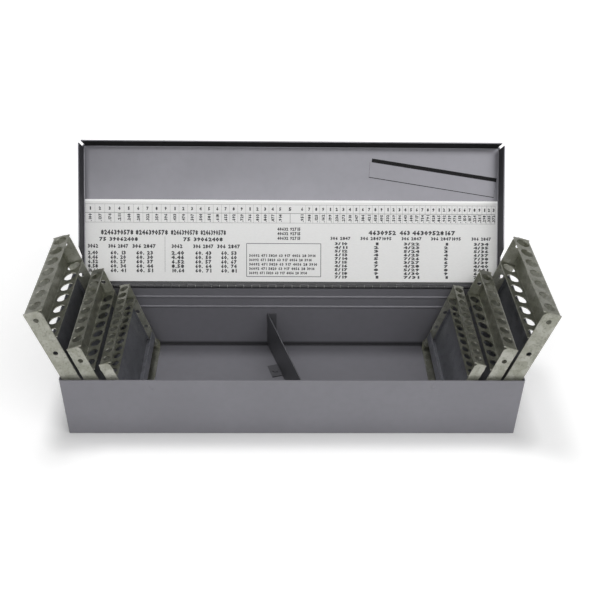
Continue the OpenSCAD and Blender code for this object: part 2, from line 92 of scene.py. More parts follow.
# Chart in millimetres: x across the lid, h up the lid from the hinge axis. A name that ends in
# _H is the middle of a row, or of the first and last of several rows with their number. A name
# that ends in _SIZE is the height of a row's figures.
STRIP_LINES = (55.0, 63.3, 70.7)
STRIP_COLUMNS = 59
STRIP_FAR_END, STRIP_REACH, STRIP_RATIO = 492.0, 667.0, 0.9872
STRIP_LEFT_MARGIN, STRIP_RIGHT_MARGIN = 4.2, 1.4
STRIP_WIDEST_CELL = 9.0
STRIP_GAP = (-8.0, 6.0)
STRIP_FIGURE_H, STRIP_FIGURE_WIDTH, STRIP_FIGURE_SIZE = 67.1, 1.8, 2.6
STRIP_UPRIGHT_H, STRIP_UPRIGHT_LENGTH, STRIP_UPRIGHT_SIZE = 59.2, 6.6, 2.4
GAP_FIGURE_X, GAP_FIGURE_WIDTH, GAP_FIGURE_SIZE = -1.8, 2.4, 2.8

LEFT_TITLE_H, LEFT_TITLE_SIZE = 46.5, 3.8
LEFT_GROUP_H, LEFT_HEAD_H, LEFT_HEAD_SIZE = 40.6, 34.6, 3.0
LEFT_ROWS_H = (28.8, 13.5, 5)
LEFT_TITLE = ((-165.6, -137.7), (-135.6, -107.8), (-105.2, -81.8), (-79.4, -57.5))
LEFT_GROUPS = ((-167.1, -133.7), (-94.5, -60.2))
LEFT_HEADS = ((-177.1, -168.2), (-159.3, -142.2), (-138.5, -118.4),
              (-104.6, -95.3), (-85.9, -68.4), (-65.1, -45.3))
LEFT_COLUMNS = ((-176.9, -168.4), (-157.5, -144.2), (-135.2, -120.7),
                (-104.6, -93.8), (-84.1, -70.2), (-61.7, -48.2))
LEFT_RULE = (-110.4, 12.0, -110.4, 43.0)

RIGHT_TITLE_H, RIGHT_TITLE_SIZE = 47.0, 3.4
RIGHT_HEAD_H, RIGHT_HEAD_SIZE, RIGHT_HEAD_PITCH = 42.0, 2.5, 2.1
RIGHT_ROWS_H, RIGHT_SIZE = (37.4, 8.4, 10), 2.2
RIGHT_TITLE = ((66.9, 90.6), (94.1, 102.9), (105.2, 142.5))
RIGHT_TITLE_LENGTHS = (7, 3, 11)
RIGHT_HEADS = ((33.4, 50.9), (59.6, 86.8), (95.6, 113.1), (121.3, 147.6), (156.9, 174.0))
RIGHT_COLUMNS = ((37.2, 48.3), (71.5, 75.4), (97.5, 111.3), (132.9, 136.4), (158.9, 171.9))

NOTE_BOX = (-39.6, 8.5, 25.0, 37.2)
NOTE_START, NOTE_ENDS = -37.4, (20.5, 17.0, 21.7, 19.5, 13.0)
NOTE_ROWS_H, NOTE_SIZE = (26.8, 11.7, 5), 2.1
SHORT_ROW, SHORT_ROWS_H, SHORT_SIZE = (-12.7, 7.2), (49.8, 45.9, 41.9), 2.5

# Widths of the chart's lines, as shares of a thin rule
STRIP_LINE_SHARES = (0.6, 1.0, 0.6)
CELL_SHARE, LEFT_RULE_SHARE, BOX_SHARE = 0.4, 0.7, 1.6

# Slanted mark in the lid, as rules of (x0, h0, x1, h1, width)
MARK_RULES = (
    (69.2, 109.7, 178.3, 93.2, 3.3),
    (66.7, 95.1, 176.0, 78.2, 0.6),
    (66.7, 95.1, 67.6, 108.2, 0.15),
    (176.0, 78.2, 178.0, 91.8, 0.1),
)

# Finishes: thickness of the tray's sheet, distances from its rear fold at which its painted shade
# begins to fade and ends, painted shade of the rim's side faces against that of its top face, metal
# flake in the hinge's paint, darkened as painted shade, dark crystals of the stops against their
# pale ones, and distances from the card's top edge at which its painted highlight begins and is
# full
SHEET = 0.9 * MM
FOLD_SHADE_REACH = (1.2 * MM, 4.0 * MM)
RIM_SIDE_SHADE_SHARE = 0.74
HINGE_FLAKE = 0.1
STOP_SHADE = 0.8
CARD_EDGE_HIGHLIGHT = (2.2 * MM, 1.4 * MM)
CHART_INK_THIN, MARK_INK_THIN = 0.35, 0.05

# Studio: half the floor's width, distances from the tray at which the floor's glow changes, its
# drop by the tray being a painted shadow, the lamps, how steeply a ray rises where the wall ends
# and the ceiling begins, and the camera
FLOOR_HALF = 6.0
GLOW_NEAR, GLOW_FAR = 0.024, 1.0
KEY_SPOT, KEY_SIZE = (0.34, -0.95, 1.15), (2.3, 0.7)
TOP_SPOT, TOP_SIZE = (-0.25, 0.45, 1.85), (0.4, 0.4)
LAMP_TARGET = (0.0, 0.0, 0.06)
WALL_RISE, CEILING_RISE = 0.16, 0.34
CAMERA_SPOT = (-0.009444, -0.585866, 0.485413)
CAMERA_PITCH, CAMERA_YAW, CAMERA_ROLL = 38.577, 1.573, 1.078
SENSOR_WIDTH = 36.0


def colour_property(name, description, default):
    """A linear colour that the user can change."""
    return bpy.props.FloatVectorProperty(
        name=name, description=description, subtype="COLOR", size=3, min=0, max=1, default=default)


def length_property(name, description, default):
    """A length in metres that the user can change."""
    return bpy.props.FloatProperty(
        name=name, description=description, default=default, min=0, precision=5, unit="LENGTH")


def number_property(name, description, default, top=1):
    """A plain number from 0 to top that the user can change."""
    return bpy.props.FloatProperty(
        name=name, description=description, default=default, min=0, max=top)


class CaseFinish(bpy.types.PropertyGroup):
    """Paint of the case, the lid and the divider."""

    paint: colour_property("Paint", "Grey of the case and the lid", (0.210, 0.208, 0.230))
    # The divider's darker grey is painted shade: a shaded copy of the case's grey.
    divider: colour_property("Divider", "Darker grey of the divider", (0.105, 0.105, 0.115))
    # The hinge leaves' near-black is painted shade.
    hinge: colour_property("Hinge", "Dark oxide of the hinge leaves", (0.045, 0.045, 0.048))
    tray_roughness: number_property("Tray roughness", "Mean roughness of the tray's paint", 0.42)
    lid_roughness: number_property("Lid roughness", "Mean roughness of the lid's paint", 0.305)
    # The rim's dark inner faces are painted shade.
    rim: number_property("Rim", "Tone of the lid rim's inner faces, as a share of the paint", 0.04)
    # The dark in the tray's rear fold is painted shade.
    fold: number_property(
        "Fold", "Tone of the dirt in the tray's rear fold, as a share of the paint", 0.20)
    tray_flake: number_property("Tray flake", "Share of metal flake in the tray's paint", 0.28)
    lid_flake: number_property("Lid flake", "Share of metal flake in the lid's paint", 0.40)
    peel: length_property("Peel", "Depth of the paint's fine peel", 0.05 * MM)
    sway: length_property("Sway", "Depth of the slow waves in the sheet", 0.9 * MM)


class RackFinish(bpy.types.PropertyGroup):
    """Zinc of the racks and steel of the rivets."""

    pale: colour_property("Pale zinc", "Light crystals of the zinc", (0.410, 0.410, 0.362))
    dark: colour_property("Dark zinc", "Dark crystals of the zinc", (0.275, 0.279, 0.229))
    # The stops' dark blue-grey is painted shade under the racks.
    stop: colour_property(
        "Stop zinc", "Dull zinc of the stops under the racks", (0.215, 0.220, 0.243))
    steel: colour_property("Steel", "Rivets and pins", (0.55, 0.55, 0.54))
    crystal: length_property("Crystal", "Width of one zinc crystal", 6 * MM)
    metal: number_property("Metal", "Share of bare metal in the channels' zinc", 0.82)
    plate_metal: number_property(
        "Plate metal", "Share of bare metal in the zinc of the end plates and stops", 0.36)
    # End plates lighter than the channels: painted light.
    plate_painted_light: number_property(
        "Plate tone", "Tone of the end plates, as a share of the channels' zinc", 1.05, 2)


class ChartPrint(bpy.types.PropertyGroup):
    """Card in the lid and what is printed on it."""

    card: colour_property("Card", "White of the card", (0.780, 0.780, 0.774))
    ink: colour_property("Ink", "Ink of the figures and rules", (0.045, 0.045, 0.050))
    mark: colour_property("Mark", "Black of the slanted mark on the lid", (0.012, 0.012, 0.013))
    rule: length_property("Rule", "Width of a thin rule", 0.3 * MM)
    figure: length_property("Figure", "Height of a figure in the left tables", 2.9 * MM)
    bold: number_property("Bold", "Stroke added to bold figures, in ems", 0.06)


class Studio(bpy.types.PropertyGroup):
    """Floor, light and camera."""

    floor: colour_property("Floor", "Pale floor", (0.80, 0.80, 0.80))
    # Low glow by the case: a painted shadow on the floor.
    painted_contact_shadow: number_property(
        "Contact", "Light that camera and mirror rays see where the floor meets the case", 0.08)
    glow: number_property("Glow", "The same light a finger's width from the case", 0.34)
    far_glow: number_property("Far glow", "The same light far from the case", 0.95)
    key: number_property("Key", "Power of the wide lamp behind the camera, in watts", 14, 200)
    top: number_property("Top", "Power of the lamp above at the back, in watts", 11, 200)
    wall: number_property("Wall", "Strength of the pale walls all round", 0.95, 5)
    ceiling: number_property("Ceiling", "Strength of the dim ceiling", 0.19, 5)
    lens: number_property("Lens", "Focal length on a 36 mm sensor, in millimetres", 52.879, 200)
    shift: number_property("Shift", "Share of the picture by which it is cropped upwards", 0.11667)


def settings(name):
    """The scene's property group of that name."""
    return getattr(bpy.context.scene, "drill_index_" + name)


def rgba(colour, gain=1.0):
    """A colour times a gain, with full alpha."""
    return tuple(min(1.0, channel * gain) for channel in colour) + (1.0,)


class Tree:
    """Short-hand for one material's nodes."""

    def __init__(self, name):
        self.material = bpy.data.materials.new(name)
        self.material.use_nodes = True
        self.nodes = self.material.node_tree.nodes
        self.links = self.material.node_tree.links
        self.bsdf = self.nodes["Principled BSDF"]
        self.place = self.add("ShaderNodeTexCoord").outputs["Object"]

    def add(self, kind, inputs=None, **options):
        """A node with its options set and its inputs linked to sockets or given values."""
        node = self.nodes.new(kind)
        for key, value in options.items():
            setattr(node, key, value)
        for key, value in (inputs or {}).items():
            self.give(node.inputs[key], value)
        return node

    def give(self, socket, value):
        """Links a socket to another, or sets its value."""
        if isinstance(value, bpy.types.NodeSocket):
            self.links.new(value, socket)
        else:
            socket.default_value = value

    def noise(self, scale, detail=3.0, place=None, rough=0.5):
        """Soft noise from 0 to 1 with that many waves to the metre."""
        node = self.add("ShaderNodeTexNoise", {
            "Vector": place or self.place, "Scale": scale, "Detail": detail, "Roughness": rough})
        return node.outputs["Fac"]

    def stretch(self, scale):
        """Object coordinates scaled along each axis."""
        node = self.add("ShaderNodeMapping", {"Vector": self.place, "Scale": scale})
        return node.outputs["Vector"]

    def span(self, value, low, high, from_low=0.0, from_high=1.0):
        """Maps a range of a value to another, clamped."""
        node = self.add("ShaderNodeMapRange", {
            "Value": value, "From Min": from_low, "From Max": from_high,
            "To Min": low, "To Max": high})
        return node.outputs["Result"]

    def blend(self, share, first, second):
        """Colour between two colours."""
        node = self.add("ShaderNodeMix", data_type="RGBA")
        for key, value in (("Factor_Float", share), ("A_Color", first), ("B_Color", second)):
            self.give(next(socket for socket in node.inputs if socket.identifier == key), value)
        return next(socket for socket in node.outputs if socket.identifier == "Result_Color")

    def number(self, operation, *values):
        """Number worked out from one or two others."""
        inputs = dict(enumerate(values))
        return self.add("ShaderNodeMath", inputs, operation=operation).outputs[0]

    def vector(self, operation, *values):
        """Vector, or number where the operation gives one, worked out from one or two vectors."""
        inputs = dict(enumerate(values))
        node = self.add("ShaderNodeVectorMath", inputs, operation=operation)
        scalar = operation in ("DOT_PRODUCT", "DISTANCE", "LENGTH")
        return node.outputs["Value" if scalar else "Vector"]

    def facing(self):
        """The surface's normal in object coordinates."""
        return self.add("ShaderNodeTexCoord").outputs["Normal"]

    def bump(self, height, depth, normal=None, strength=1.0):
        """Normal of a surface raised by a height from 0 to 1 times a depth in metres."""
        inputs = {"Height": height, "Distance": depth, "Strength": strength}
        node = self.add("ShaderNodeBump", inputs)
        if normal is not None:
            self.give(node.inputs["Normal"], normal)
        return node.outputs["Normal"]

    def finish(self, **inputs):
        """Sets the shader's sockets by name, with spaces written as underscores."""
        for key, value in inputs.items():
            self.give(self.bsdf.inputs[key.replace("_", " ")], value)
        return self.material


def grey_paint(name, colour, roughness, flake, peel, sway, mask=None, dark=1.0):
    """Baked semi-gloss paint: cloudy tone, fine peel, slow sheet waves and a few dry scuffs.

    Where the mask function gives 1, the paint has the dark share of its colour and no shine:
    painted shade.
    """
    tree = Tree(name)
    cloud = tree.noise(14.0, 4.0)
    grain = tree.noise(1500.0, 2.0)
    base = tree.blend(tree.span(cloud, 0, 1, 0.3, 0.7), rgba(colour, 0.95), rgba(colour, 1.05))
    mottle = tree.noise(150.0, 2.0)
    base = tree.blend(tree.span(mottle, 0, 0.25, 0.4, 0.75), base, rgba(colour, 0.85))
    base = tree.blend(tree.span(grain, 0, 0.05, 0.35, 0.75), base, rgba(colour, 0.72))
    streak = tree.span(tree.noise(90.0, 3.0, tree.stretch((1.0, 6.0, 6.0))), 0, 1, 0.56, 0.86)
    scuff = tree.number("MULTIPLY", streak, tree.span(cloud, 0, 1, 0.5, 0.62))
    base = tree.blend(tree.number("MULTIPLY", scuff, 0.08), base, rgba(colour, 1.5))
    rough = tree.span(tree.noise(24.0, 1.0), roughness - 0.025, roughness + 0.035)
    if mask:
        share = mask(tree)
        base = tree.blend(share, base, rgba(colour, dark))
        rough = tree.number("MAXIMUM", rough, share)
    normal = tree.bump(tree.noise(9.0, 1.0), sway, strength=0.35)
    normal = tree.bump(grain, peel, normal, 0.12)
    return tree.finish(Base_Color=base, Metallic=flake, Roughness=rough, Normal=normal, IOR=1.5)


def rim_painted_shade_mask(tree):
    """Painted shade: 1 on the rim's inner face towards the hinge, less on the two towards the
    middle.
    """
    facing = tree.facing()
    hingeward = tuple(-part for part in LID_UP)
    top = tree.span(tree.vector("DOT_PRODUCT", facing, hingeward), 0, 1, 0.6, 0.8)
    across = tree.add("ShaderNodeSeparateXYZ", {0: facing}).outputs["X"]
    half = tree.add("ShaderNodeSeparateXYZ", {0: tree.place}).outputs["X"]
    outward = tree.number("MULTIPLY", tree.number("SIGN", half), across)
    return tree.number("MAXIMUM", top, tree.span(outward, RIM_SIDE_SHADE_SHARE, 0, -0.8, -0.6))


def fold_painted_shade_mask(tree):
    """Painted shade: 1 in the fold between the tray's floor and rear wall, less with the distance.
    """
    low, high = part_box("tray")
    fold = (0.0, high[1] - SHEET, low[2] + SHEET)
    away = tree.vector("DISTANCE", tree.vector("MULTIPLY", tree.place, (0.0, 1.0, 1.0)), fold)
    inward = tree.vector("DOT_PRODUCT", tree.facing(), (0.0, -1.0, 1.0))
    return tree.number(
        "MULTIPLY", tree.span(away, 1, 0, *FOLD_SHADE_REACH), tree.span(inward, 0, 1, 0.2, 0.6))


def galvanised_zinc(name, pale, dark, crystal, metal):
    """Hot-dipped zinc: crystals of random tone, broken up by noise, dull patches, dark specks."""
    tree = Tree(name)
    warp = tree.add("ShaderNodeTexNoise", {"Vector": tree.place, "Scale": 160.0, "Detail": 3.0})
    shift = tree.add("ShaderNodeVectorMath", {0: warp.outputs["Color"]}, operation="SCALE")
    shift.inputs["Scale"].default_value = crystal * 0.9
    place = tree.vector("ADD", tree.place, shift.outputs[0])
    cells = tree.add("ShaderNodeTexVoronoi", feature="SMOOTH_F1")
    for key, value in (("Vector", place), ("Scale", 1.0 / crystal), ("Smoothness", 0.7)):
        tree.give(cells.inputs[key], value)
    tone = tree.add("ShaderNodeSeparateColor", {"Color": cells.outputs["Color"]})
    feather = tree.noise(700.0, 4.0, place, 0.6)
    patch = tree.noise(38.0, 3.0)
    share = tree.number("ADD", tone.outputs[0], feather)
    base = tree.blend(tree.span(share, 0, 1, 0.6, 1.4), rgba(dark), rgba(pale))
    base = tree.blend(tree.span(patch, 0, 0.5, 0.45, 0.7), base, rgba(dark, 0.85))
    speck = tree.noise(620.0, 2.0)
    base = tree.blend(tree.span(speck, 0, 0.5, 0.52, 0.72), base, rgba(dark, 0.45))
    rough = tree.span(tone.outputs[1], 0.28, 0.40)
    normal = tree.bump(feather, 0.03 * MM, strength=0.5)
    return tree.finish(Base_Color=base, Metallic=metal, Roughness=rough, Normal=normal)


def plain_steel(name, colour):
    """Turned steel: fine changes of tone and a soft shine."""
    tree = Tree(name)
    fine = tree.noise(900.0, 4.0)
    base = tree.blend(fine, rgba(colour, 0.8), rgba(colour, 1.1))
    rough = tree.span(tree.noise(300.0), 0.28, 0.46)
    normal = tree.bump(fine, 0.02 * MM, strength=0.4)
    return tree.finish(Base_Color=base, Metallic=1.0, Roughness=rough, Normal=normal)


def coated_card(name, colour):
    """Smooth white card with faint fibres and a thin gloss, and a painted highlight along its top
    edge.
    """
    tree = Tree(name)
    fibre = tree.noise(420.0, 5.0, tree.stretch((1.0, 3.0, 3.0)), 0.6)
    base = tree.blend(tree.span(fibre, 0, 1, 0.3, 0.7), rgba(colour, 0.97), rgba(colour, 1.02))
    reach = tree.vector("DOT_PRODUCT", tree.vector("SUBTRACT", tree.place, HINGE), LID_UP)
    # Painted highlight: the card turns full white at its top edge.
    edge = tree.span(reach, 0, 1, *(CARD_TOP - inset for inset in CARD_EDGE_HIGHLIGHT))
    base = tree.blend(edge, base, (1.0, 1.0, 1.0, 1.0))
    rough = tree.span(tree.noise(30.0), 0.42, 0.56)
    normal = tree.bump(fibre, 0.02 * MM, strength=0.3)
    return tree.finish(Base_Color=base, Roughness=rough, Normal=normal)


def printed_ink(name, colour, spread):
    """Ink that lies a little thin in places, where it turns grey by up to the spread."""
    tree = Tree(name)
    thin = tree.noise(1100.0, 3.0)
    base = tree.blend(tree.span(thin, 0, spread, 0.4, 0.8), rgba(colour), rgba((0.3, 0.3, 0.3)))
    return tree.finish(Base_Color=base, Roughness=tree.span(thin, 0.5, 0.7), Specular_IOR_Level=0.1)


def dress(node, material):
    """Gives a CAD node one material."""
    slots = frame["nodes"][node].data.materials
    slots.clear()
    slots.append(material)


def on_lid(points, face):
    """Points in the frame's axes from (x, reach, lift) on the open lid.

    reach runs from the hinge axis up the lid and lift stands off the face, so with the lid
    open by t: y = hinge_y - reach cos t + (face - lift) sin t, and
    z = hinge_z + reach sin t + (face - lift) cos t.
    """
    x, reach, lift = np.asarray(points, float).T
    depth = face - lift
    y = HINGE_Y - reach * math.cos(LID_OPEN) + depth * math.sin(LID_OPEN)
    z = HINGE_Z + reach * math.sin(LID_OPEN) + depth * math.cos(LID_OPEN)
    return np.column_stack([x, y, z])


def mesh_piece(name, points, faces, material, body):
    """A mesh object at the origin from arrays of points and faces, riding on a body."""
    mesh = bpy.data.meshes.new(name)
    mesh.from_pydata(points.tolist(), [], [tuple(face) for face in faces])
    mesh.materials.append(material)
    mesh.update()
    piece = bpy.data.objects.new(name, mesh)
    bpy.context.scene.collection.objects.link(piece)
    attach(piece, body)
    return piece


def rule_quads(rules):
    """Flat strips: a rule is (x0, h0, x1, h1, width), a line with half its width either side."""
    rules = np.asarray(rules, float)
    start, end, width = rules[:, 0:2], rules[:, 2:4], rules[:, 4:5]
    along = (end - start) / np.linalg.norm(end - start, axis=1, keepdims=True)
    side = np.column_stack([-along[:, 1], along[:, 0]]) * width / 2
    corners = np.stack([start - side, end - side, end + side, start + side], axis=1).reshape(-1, 2)
    faces = np.arange(len(corners)).reshape(-1, 4)
    return corners, faces


class Figures:
    """Outlines of the plain figures, as triangles of a unit em."""

    SIGNS = "0123456789-./"
    CAP = 0.72
    SPACE = 0.45
    APART = 0.08

    def __init__(self, offset=0.0):
        self.shapes = {sign: self.outline(sign, offset) for sign in self.SIGNS}

    def outline(self, sign, offset):
        """Points and triangles of one figure and how far it advances."""
        curve = bpy.data.curves.new("figure", "FONT")
        curve.body = sign
        curve.resolution_u = 1
        curve.offset = offset
        holder = bpy.data.objects.new("figure", curve)
        bpy.context.scene.collection.objects.link(holder)
        graph = bpy.context.evaluated_depsgraph_get()
        mesh = bpy.data.meshes.new_from_object(holder.evaluated_get(graph))
        mesh.calc_loop_triangles()
        points = np.empty(len(mesh.vertices) * 3)
        mesh.vertices.foreach_get("co", points)
        faces = np.empty(len(mesh.loop_triangles) * 3, int)
        mesh.loop_triangles.foreach_get("vertices", faces)
        bpy.data.objects.remove(holder)
        bpy.data.curves.remove(curve)
        bpy.data.meshes.remove(mesh)
        points = points.reshape(-1, 3)[:, :2]
        return points, faces.reshape(-1, 3), points[:, 0].max() + self.APART

    def line(self, text):
        """A row of figures from x = 0 on its base line, with its width."""
        pen, parts = 0.0, []
        for sign in text:
            if sign == " ":
                pen += self.SPACE
                continue
            points, triangles, advance = self.shapes[sign]
            parts.append((points + (pen, 0), triangles))
            pen += advance
        points, faces = join(parts)
        return points, faces, pen - self.APART

    def fit(self, text, x0, x1, h, height):
        """A row of figures drawn out from x0 to x1, centred on h."""
        points, faces, width = self.line(text)
        points = (points - (0, self.CAP / 2)) * ((x1 - x0) / width, height / self.CAP)
        return points + (x0, h), faces

    def upright(self, text, x, h, height, length):
        """A row of figures that reads upward, centred on (x, h)."""
        points, faces = self.fit(text, -length / 2, length / 2, 0, height)
        return np.column_stack([-points[:, 1], points[:, 0]]) + (x, h), faces


def join(parts):
    """Joins pairs of points and faces into one pair."""
    start = np.cumsum([0] + [len(points) for points, _ in parts[:-1]])
    points = np.concatenate([points for points, _ in parts])
    return points, np.concatenate([faces + first for (_, faces), first in zip(parts, start)])


def lid_print(name, flat, face, material):
    """A print on the open lid from flat points (x, reach) in millimetres."""
    points, faces = flat
    lifted = np.column_stack([points * MM, np.full(len(points), PRINT_LIFT)])
    return mesh_piece(name, on_lid(lifted, face), faces, material, "lid")


class DRILLINDEX_OT_paint_case(bpy.types.Operator):
    """Paint the case, the lid, the hinge leaves and the divider"""

    bl_idname = "drillindex.paint_case"
    bl_label = "Paint Case"

    def execute(self, context):
        finish = settings("case")
        tray = finish.tray_roughness, finish.tray_flake, finish.peel, finish.sway
        lid = finish.lid_roughness, finish.lid_flake, finish.peel, finish.sway
        # The tray's rear fold gets painted shade.
        dress("tray", grey_paint("grey_tray_paint", finish.paint, *tray, fold_painted_shade_mask, finish.fold))
        # The lid rim's inner faces get painted shade.
        dress("lid_shell", grey_paint("grey_lid_paint", finish.paint, *lid, rim_painted_shade_mask, finish.rim))
        # The divider and its rivets get a darker copy of the grey: painted shade.
        dark = grey_paint("divider_painted_shade", finish.divider, *tray)
        dress("divider", dark)
        dress("divider_rivets", dark)
        # The hinge leaves get a near-black paint: painted shade.
        hinge_shade_paint = grey_paint(
            "dark_hinge_painted_shade", finish.hinge, finish.tray_roughness, HINGE_FLAKE, finish.peel, 0.0)
        for node in HINGE_LEAVES:
            dress(node, hinge_shade_paint)
        return {"FINISHED"}


class DRILLINDEX_OT_galvanise_racks(bpy.types.Operator):
    """Galvanise the racks, their pivot brackets and the link bars"""

    bl_idname = "drillindex.galvanise_racks"
    bl_label = "Galvanise Racks"

    def execute(self, context):
        finish = settings("racks")
        zinc = galvanised_zinc(
            "galvanised_rack_zinc", finish.pale, finish.dark, finish.crystal, finish.metal)
        # End plates: the zinc lightened by the plate tone, painted light.
        pale = np.multiply(finish.pale, finish.plate_painted_light).tolist()
        dark = np.multiply(finish.dark, finish.plate_painted_light).tolist()
        shade = np.multiply(finish.stop, STOP_SHADE).tolist()
        dull = finish.crystal, finish.plate_metal
        plate = galvanised_zinc("galvanised_plate_zinc", pale, dark, *dull)
        # The stops get a dark blue-grey zinc: painted shade under the racks.
        stop = galvanised_zinc("stop_zinc_painted_shade", finish.stop, shade, *dull)
        for side in SIDES:
            for rack in RACKS:
                dress(f"{side}_{rack}_channel", zinc)
                dress(f"{side}_{rack}_stop", stop)
                for piece in END_PLATES:
                    dress(f"{side}_{rack}_{piece}", plate)
            for piece in LINKAGE:
                dress(f"{side}_{piece}", zinc)
        return {"FINISHED"}


class DRILLINDEX_OT_finish_rivets(bpy.types.Operator):
    """Give the rivets, the link pins and the hinge pin bare steel"""

    bl_idname = "drillindex.finish_rivets"
    bl_label = "Finish Rivets"

    def execute(self, context):
        steel = plain_steel("rivet_steel", settings("racks").steel)
        dress("hinge_pin", steel)
        for side in SIDES:
            dress(f"{side}_pivot_rivets", steel)
            for rack in RACKS:
                dress(f"{side}_{rack}_link_pins", steel)
        return {"FINISHED"}


class DRILLINDEX_OT_print_chart(bpy.types.Operator):
    """Lay the white card and print plain figures and rules on it"""

    bl_idname = "drillindex.print_chart"
    bl_label = "Print Chart"

    def execute(self, context):
        chart = settings("chart")
        dress("chart_card", coated_card("white_chart_card", chart.card))
        ink = printed_ink("chart_ink", chart.ink, CHART_INK_THIN)
        bold = Figures(chart.bold)
        rule = chart.rule / MM
        text = self.size_strip(bold) + self.left_tables(bold, chart.figure / MM)
        text += self.note(bold) + self.right_table(bold)
        lid_print("chart_figures", join(text), CARD_FACE, ink)
        lid_print("chart_rules", rule_quads(self.rules(rule)), CARD_FACE, ink)
        return {"FINISHED"}

    def strip_places(self):
        """Middles of the strip's columns, each narrower than the last by the same share.

        x = far end - reach times ratio to the power of the column's number.
        """
        places = STRIP_FAR_END - STRIP_REACH * STRIP_RATIO ** np.arange(STRIP_COLUMNS)
        return [x for x in places if not STRIP_GAP[0] < x < STRIP_GAP[1]]

    def size_strip(self, bold):
        """A small figure over an upright row in each column, and one figure alone in the gap."""
        half = GAP_FIGURE_WIDTH / 2
        text = [bold.fit(
            "5", GAP_FIGURE_X - half, GAP_FIGURE_X + half, STRIP_FIGURE_H, GAP_FIGURE_SIZE)]
        half = STRIP_FIGURE_WIDTH / 2
        for i, x in enumerate(self.strip_places()):
            text.append(bold.fit(
                str(i % 9 + 1), x - half, x + half, STRIP_FIGURE_H, STRIP_FIGURE_SIZE))
            text.append(bold.upright(
                f".{(i * 37) % 900 + 100}", x, STRIP_UPRIGHT_H,
                STRIP_UPRIGHT_SIZE, STRIP_UPRIGHT_LENGTH))
        return text

    def left_tables(self, bold, size):
        """Two tables of three columns and five rows under bold heading rows."""
        text = [bold.fit("8246390578", x0, x1, LEFT_TITLE_H, LEFT_TITLE_SIZE)
                for x0, x1 in LEFT_TITLE]
        text += [bold.fit("75 39062408", x0, x1, LEFT_GROUP_H, LEFT_HEAD_SIZE)
                 for x0, x1 in LEFT_GROUPS]
        text += [bold.fit("306 2847" if i % 3 else "3062", x0, x1, LEFT_HEAD_H, LEFT_HEAD_SIZE)
                 for i, (x0, x1) in enumerate(LEFT_HEADS)]
        for i, (x0, x1) in enumerate(LEFT_COLUMNS):
            for row, h in enumerate(np.linspace(*LEFT_ROWS_H)):
                first, other = f"{2 * row + 2}.{40 + 6 * row}", f"60. {10 * i + 7 * row + 3}"
                text.append(bold.fit(other if i % 3 else first, x0, x1, h, size))
        return text

    def note(self, bold):
        """Five rows of small figures in the box and three short rows above it."""
        figures = "36092 471 5820 63 917 4056 28 3914"
        text = [bold.fit(figures, NOTE_START, end, h, NOTE_SIZE)
                for end, h in zip(NOTE_ENDS, np.linspace(*NOTE_ROWS_H))]
        return text + [bold.fit("40632 92715", *SHORT_ROW, h, SHORT_SIZE) for h in SHORT_ROWS_H]

    def right_table(self, bold):
        """Five columns of ten rows under a bold heading row."""
        text = [bold.fit("463095281670"[:length], x0, x1, RIGHT_TITLE_H, RIGHT_TITLE_SIZE)
                for (x0, x1), length in zip(RIGHT_TITLE, RIGHT_TITLE_LENGTHS)]
        for x0, x1 in RIGHT_HEADS:
            heading = "306 28471095"[:round((x1 - x0) / RIGHT_HEAD_PITCH)]
            text.append(bold.fit(heading, x0, x1, RIGHT_HEAD_H, RIGHT_HEAD_SIZE))
        for i, (x0, x1) in enumerate(RIGHT_COLUMNS):
            for row, h in enumerate(np.linspace(*RIGHT_ROWS_H)):
                value = f"{row % 9 + 1}" if i % 2 else f"{row % 5 + 3}/{10 + 6 * i + row}"
                text.append(bold.fit(value, x0, x1, h, RIGHT_SIZE))
        return text

    def rules(self, rule):
        """Lines of the strip, its faint cells, the line in its gap, one rule and the box."""
        places = self.strip_places()
        left, right = places[0] - STRIP_LEFT_MARGIN, places[-1] + STRIP_RIGHT_MARGIN
        low, middle, high = STRIP_LINES
        rules = [(left, h, right, h, rule * share)
                 for h, share in zip(STRIP_LINES, STRIP_LINE_SHARES)]
        cells = [(a + b) / 2 for a, b in zip(places, places[1:]) if b - a < STRIP_WIDEST_CELL]
        rules += [(x, low, x, high, rule * CELL_SHARE) for x in [left, *cells, right]]
        rules.append((GAP_FIGURE_X, low, GAP_FIGURE_X, middle, rule))
        rules.append(LEFT_RULE + (rule * LEFT_RULE_SHARE,))
        x0, h0, x1, h1 = NOTE_BOX
        sides = ((x0, h0, x1, h0), (x1, h0, x1, h1), (x1, h1, x0, h1), (x0, h1, x0, h0))
        return rules + [side + (rule * BOX_SHARE,) for side in sides]


class DRILLINDEX_OT_mark_lid(bpy.types.Operator):
    """Print the slanted black bar and its thin outline inside the lid"""

    bl_idname = "drillindex.mark_lid"
    bl_label = "Mark Lid"

    def execute(self, context):
        ink = printed_ink("lid_mark_ink", settings("chart").mark, MARK_INK_THIN)
        lid_print("lid_slanted_mark", rule_quads(MARK_RULES), LID_FACE, ink)
        return {"FINISHED"}


